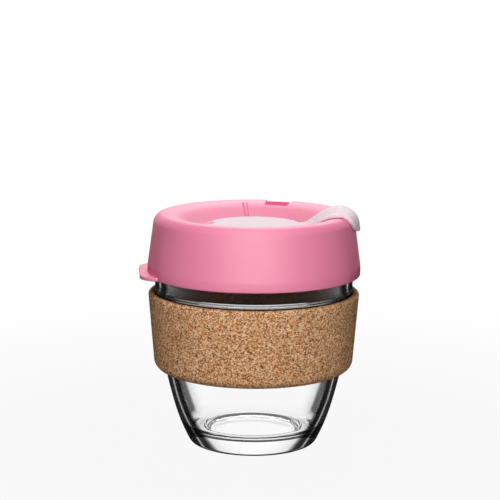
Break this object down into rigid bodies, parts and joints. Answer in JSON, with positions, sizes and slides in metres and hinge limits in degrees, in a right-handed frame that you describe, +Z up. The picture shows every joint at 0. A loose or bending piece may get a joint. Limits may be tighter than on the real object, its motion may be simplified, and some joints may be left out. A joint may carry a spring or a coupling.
{
  "type": "travel cup",
  "caption": "Rigid clear glass travel cup with a cork grip band, a press-on domed plastic lid with a lift tab, and a swivel plug that covers the drinking opening.",
  "frame": {"origin": "centre of the ring that the cup stands on, on the table", "axes": "+Z up along the cup's axis, +X towards the drinking opening under the plug's arm, -X towards the lid's lift tab"},
  "size_m": [0.092, 0.088, 0.0981],
  "materials": {
    "clear_glass": "clear pressed and tempered glass",
    "cork": "fine-grained pressed cork, unsealed",
    "lid_plastic": "satin moulded polypropylene",
    "plug_rubber": "milky translucent elastomer"
  },
  "bodies": {
    "cup": {"glass_cup": "clear_glass", "cork_band": "cork"},
    "lid": {"lid": "lid_plastic"},
    "plug": {"plug": "plug_rubber"}
  },
  "joints": [
    {"name": "lid_lift", "type": "slide", "parent": "cup", "child": "lid", "axis": [0, 0, 1], "range_m": [0, 0.05]},
    {"name": "plug_turn", "type": "hinge", "parent": "lid", "child": "plug", "pos_m": [0, 0, 0.09], "axis": [0, 0, 1], "range_deg": [0, 75.5]}
  ]
}
